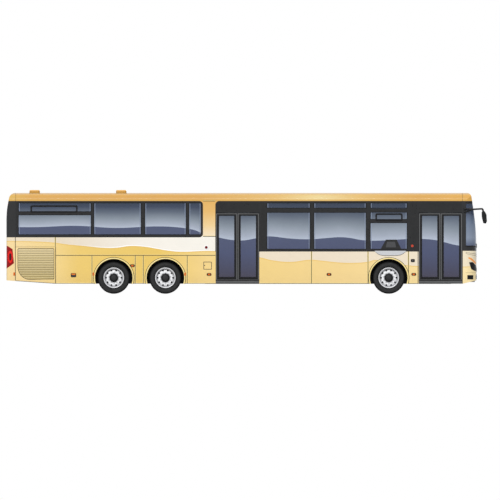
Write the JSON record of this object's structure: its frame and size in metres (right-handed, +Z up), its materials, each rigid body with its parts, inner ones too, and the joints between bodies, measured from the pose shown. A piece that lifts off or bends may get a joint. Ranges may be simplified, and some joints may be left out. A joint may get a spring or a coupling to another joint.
{
  "type": "three-axle low-entry city bus",
  "caption": "Long three-axle low-entry city bus with two inward-swinging double doors, louvred engine bay, steered front axle and twin driven wheels.",
  "frame": {"origin": "ground level under the middle of the bus, at the centre of its outer box", "axes": "+X forward towards the driver's end, +Y to the left side away from the passenger doors, +Z up"},
  "size_m": [15.2297, 2.83, 3.29],
  "materials": {
    "gold_paint": "gloss",
    "black_paint": "gloss",
    "tinted_glass": "polished",
    "lamp_lens": "gloss",
    "floor_cover": "matte",
    "aluminium": "brushed",
    "frame_steel": "satin",
    "cast_iron": "rough",
    "seat_fabric": "woven",
    "rail_steel": "satin",
    "desk_plastic": "matte",
    "mirror_plastic": "gloss",
    "wheel_steel": "satin",
    "tyre_rubber": "matte"
  },
  "bodies": {
    "body": {"roof_shell": "gold_paint", "front_cap": "gold_paint", "rear_cap": "gold_paint", "side_panels_right": "gold_paint", "side_panels_left": "gold_paint", "roof_vents": "gold_paint", "window_band_right": "black_paint", "window_band_left": "black_paint", "door_housings": "black_paint", "side_glass": "tinted_glass", "windscreen": "tinted_glass", "rear_window": "tinted_glass", "front_lamps": "lamp_lens", "side_lamps": "lamp_lens", "tail_lamps": "lamp_lens", "floor": "floor_cover", "floor_steps": "floor_cover", "wheel_houses": "frame_steel", "door_sills": "aluminium", "chassis_frame": "frame_steel", "front_axle": "frame_steel", "drive_axle": "frame_steel", "tag_axle": "frame_steel", "seat_frames": "frame_steel", "engine_block": "cast_iron", "seat_cushions": "seat_fabric", "handrails": "rail_steel", "driver_desk": "desk_plastic", "mirrors": "mirror_plastic"},
    "knuckle_right": {"front_knuckle_right": "frame_steel"},
    "front_wheel_right": {"front_rim_right": "wheel_steel", "front_tyre_right": "tyre_rubber"},
    "tag_wheel_right": {"tag_rim_right": "wheel_steel", "tag_tyre_right": "tyre_rubber"},
    "drive_wheel_right": {"drive_rim_right": "wheel_steel", "drive_tyre_right": "tyre_rubber"},
    "knuckle_left": {"front_knuckle_left": "frame_steel"},
    "front_wheel_left": {"front_rim_left": "wheel_steel", "front_tyre_left": "tyre_rubber"},
    "tag_wheel_left": {"tag_rim_left": "wheel_steel", "tag_tyre_left": "tyre_rubber"},
    "drive_wheel_left": {"drive_rim_left": "wheel_steel", "drive_tyre_left": "tyre_rubber"},
    "mid_door_rear_arm": {"mid_door_rear_arm": "black_paint"},
    "mid_door_rear_leaf": {"mid_door_rear_leaf": "black_paint", "mid_door_rear_glass": "tinted_glass"},
    "mid_door_fore_arm": {"mid_door_fore_arm": "black_paint"},
    "mid_door_fore_leaf": {"mid_door_fore_leaf": "black_paint", "mid_door_fore_glass": "tinted_glass"},
    "front_door_rear_arm": {"front_door_rear_arm": "black_paint"},
    "front_door_rear_leaf": {"front_door_rear_leaf": "black_paint", "front_door_rear_glass": "tinted_glass"},
    "front_door_fore_arm": {"front_door_fore_arm": "black_paint"},
    "front_door_fore_leaf": {"front_door_fore_leaf": "black_paint", "front_door_fore_glass": "tinted_glass"},
    "engine_door": {"engine_door": "gold_paint"},
    "engine_side_door": {"engine_side_door": "gold_paint"},
    "fuel_flap": {"fuel_flap": "gold_paint"}
  },
  "joints": [
    {"name": "steer_left", "type": "hinge", "parent": "body", "child": "knuckle_left", "pos_m": [4.502, 1, 0.507], "axis": [0, 0, 1], "range_deg": [-45, 45]},
    {"name": "steer_right", "type": "hinge", "parent": "body", "child": "knuckle_right", "pos_m": [4.502, -1, 0.507], "axis": [0, 0, 1], "range_deg": [-45, 45]},
    {"name": "front_spin_left", "type": "hinge", "parent": "knuckle_left", "child": "front_wheel_left", "pos_m": [4.502, 1.113, 0.507], "axis": [0, 1, 0], "continuous": true},
    {"name": "drive_spin_left", "type": "hinge", "parent": "body", "child": "drive_wheel_left", "pos_m": [-2.578, 1.113, 0.507], "axis": [0, 1, 0], "continuous": true},
    {"name": "tag_spin_left", "type": "hinge", "parent": "body", "child": "tag_wheel_left", "pos_m": [-4.214, 1.113, 0.507], "axis": [0, 1, 0], "continuous": true},
    {"name": "front_spin_right", "type": "hinge", "parent": "knuckle_right", "child": "front_wheel_right", "pos_m": [4.502, -1.113, 0.507], "axis": [0, 1, 0], "continuous": true},
    {"name": "drive_spin_right", "type": "hinge", "parent": "body", "child": "drive_wheel_right", "pos_m": [-2.578, -1.113, 0.507], "axis": [0, 1, 0], "continuous": true},
    {"name": "tag_spin_right", "type": "hinge", "parent": "body", "child": "tag_wheel_right", "pos_m": [-4.214, -1.113, 0.507], "axis": [0, 1, 0], "continuous": true},
    {"name": "mid_door_rear_swing", "type": "hinge", "parent": "body", "child": "mid_door_rear_arm", "pos_m": [-1.027, -1.175, 1.5], "axis": [0, 0, 1], "range_deg": [0, 76]},
    {"name": "mid_door_rear_fold", "type": "hinge", "parent": "mid_door_rear_arm", "child": "mid_door_rear_leaf", "pos_m": [-0.7, -1.215, 1.5], "axis": [0, 0, 1], "range_deg": [-165.42, 0]},
    {"name": "mid_door_fore_swing", "type": "hinge", "parent": "body", "child": "mid_door_fore_arm", "pos_m": [0.442, -1.175, 1.5], "axis": [0, 0, 1], "range_deg": [-76, 0]},
    {"name": "mid_door_fore_fold", "type": "hinge", "parent": "mid_door_fore_arm", "child": "mid_door_fore_leaf", "pos_m": [0.115, -1.215, 1.5], "axis": [0, 0, 1], "range_deg": [0, 165.42]},
    {"name": "front_door_rear_swing", "type": "hinge", "parent": "body", "child": "front_door_rear_arm", "pos_m": [5.411, -1.175, 1.5], "axis": [0, 0, 1], "range_deg": [0, 76]},
    {"name": "front_door_rear_fold", "type": "hinge", "parent": "front_door_rear_arm", "child": "front_door_rear_leaf", "pos_m": [5.738, -1.215, 1.5], "axis": [0, 0, 1], "range_deg": [-165.42, 0]},
    {"name": "front_door_fore_swing", "type": "hinge", "parent": "body", "child": "front_door_fore_arm", "pos_m": [6.88, -1.175, 1.5], "axis": [0, 0, 1], "range_deg": [-76, 0]},
    {"name": "front_door_fore_fold", "type": "hinge", "parent": "front_door_fore_arm", "child": "front_door_fore_leaf", "pos_m": [6.553, -1.215, 1.5], "axis": [0, 0, 1], "range_deg": [0, 165.42]},
    {"name": "engine_door_hinge", "type": "hinge", "parent": "body", "child": "engine_door", "pos_m": [-7.61, 0, 1.495], "axis": [0, 1, 0], "range_deg": [0, 85]},
    {"name": "engine_side_door_hinge", "type": "hinge", "parent": "body", "child": "engine_side_door", "pos_m": [-6.699, -1.27, 1.477], "axis": [1, 0, 0], "range_deg": [-85, 0]},
    {"name": "fuel_flap_hinge", "type": "hinge", "parent": "body", "child": "fuel_flap", "pos_m": [-1.118, -1.27, 0.892], "axis": [0, 0, 1], "range_deg": [0, 110]}
  ],
  "couplings": [
    {"joint": "steer_right", "follows": "steer_left", "ratio": 1},
    {"joint": "mid_door_rear_fold", "follows": "mid_door_rear_swing", "ratio": -2.17},
    {"joint": "mid_door_fore_swing", "follows": "mid_door_rear_swing", "ratio": -1},
    {"joint": "mid_door_fore_fold", "follows": "mid_door_rear_swing", "ratio": 2.17},
    {"joint": "front_door_rear_fold", "follows": "front_door_rear_swing", "ratio": -2.17},
    {"joint": "front_door_fore_swing", "follows": "front_door_rear_swing", "ratio": -1},
    {"joint": "front_door_fore_fold", "follows": "front_door_rear_swing", "ratio": 2.17}
  ]
}
